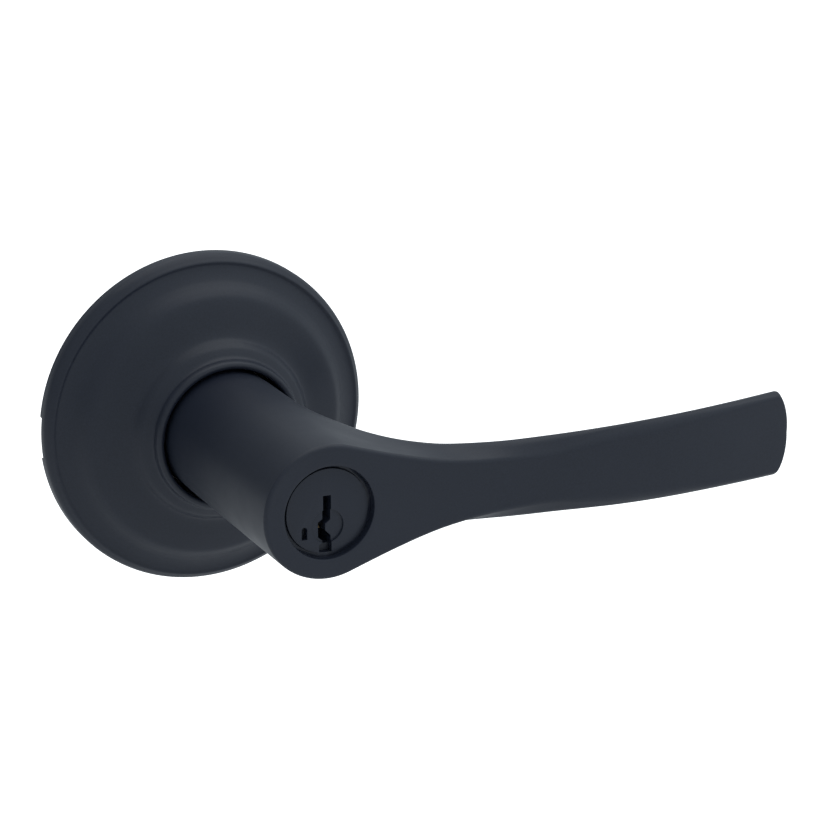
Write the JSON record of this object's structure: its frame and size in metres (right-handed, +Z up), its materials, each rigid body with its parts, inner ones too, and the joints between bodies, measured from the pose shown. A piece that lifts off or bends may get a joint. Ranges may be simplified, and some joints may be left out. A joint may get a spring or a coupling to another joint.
{
  "type": "lever handle lockset",
  "caption": "Outside half of a keyed lever lockset: a sprung lever with a key cylinder in its hub, on a round bell-shaped rose, with the spindle and stems that go through the door.",
  "frame": {"origin": "centre of the rose on the face of the door", "axes": "+X along the lever, -Y out of the door towards the user, +Y into the door along the spindle, +Z up"},
  "size_m": [0.1586, 0.1361, 0.08],
  "materials": {
    "black_finish": "matte blue-black powder coat",
    "plug_finish": "matte blue-black coat over brass",
    "plated_steel": "zinc-plated, lightly brushed",
    "spring_steel": "oiled spring steel",
    "zinc_casting": "as-cast zinc",
    "bush_plastic": "moulded acetal",
    "brass": "machined brass"
  },
  "bodies": {
    "chassis": {"rose_cover": "black_finish", "mounting_plate": "plated_steel", "spring_housing": "zinc_casting", "spring_cover": "plated_steel", "bearing_bush": "bush_plastic", "thrust_washer": "plated_steel", "mounting_stems": "plated_steel", "plate_rivets": "plated_steel", "return_spring": "spring_steel"},
    "lever": {"lever_handle": "black_finish", "spindle_tube": "plated_steel", "half_round_spindle": "plated_steel", "spring_driver": "plated_steel", "retaining_ring": "spring_steel", "cylinder_body": "plug_finish", "catch_spring": "spring_steel"},
    "plug": {"cylinder_plug": "plug_finish", "wafer_springs": "spring_steel", "sidebar": "brass", "sidebar_springs": "spring_steel", "plug_clip": "spring_steel", "tailpiece": "plated_steel"},
    "catch": {"lever_catch": "plated_steel"},
    "wafer_1": {"wafer_1": "brass"},
    "wafer_2": {"wafer_2": "brass"},
    "wafer_3": {"wafer_3": "brass"},
    "wafer_4": {"wafer_4": "brass"},
    "wafer_5": {"wafer_5": "brass"}
  },
  "joints": [
    {"name": "lever_turn", "type": "hinge", "parent": "chassis", "child": "lever", "pos_m": [0, 0, 0], "axis": [0, 1, 0], "range_deg": [-50, 50], "stiffness_Nm_per_rad": 3, "deforming": ["return_spring"]},
    {"name": "plug_turn", "type": "hinge", "parent": "lever", "child": "plug", "pos_m": [0, 0, 0], "axis": [0, 1, 0], "range_deg": [-90, 90]},
    {"name": "catch_press", "type": "slide", "parent": "lever", "child": "catch", "axis": [0, 0, 1], "range_m": [0, 0.0032], "stiffness_N_per_m": 600, "deforming": ["catch_spring"]},
    {"name": "wafer_1_lift", "type": "slide", "parent": "plug", "child": "wafer_1", "axis": [0, 0, 1], "range_m": [-0.0008, 0.0008], "stiffness_N_per_m": 60, "deforming": ["wafer_springs"]},
    {"name": "wafer_2_lift", "type": "slide", "parent": "plug", "child": "wafer_2", "axis": [0, 0, 1], "range_m": [-0.0008, 0.0008], "stiffness_N_per_m": 60},
    {"name": "wafer_3_lift", "type": "slide", "parent": "plug", "child": "wafer_3", "axis": [0, 0, 1], "range_m": [-0.0008, 0.0008], "stiffness_N_per_m": 60},
    {"name": "wafer_4_lift", "type": "slide", "parent": "plug", "child": "wafer_4", "axis": [0, 0, 1], "range_m": [-0.0008, 0.0008], "stiffness_N_per_m": 60},
    {"name": "wafer_5_lift", "type": "slide", "parent": "plug", "child": "wafer_5", "axis": [0, 0, 1], "range_m": [-0.0008, 0.0008], "stiffness_N_per_m": 60}
  ]
}
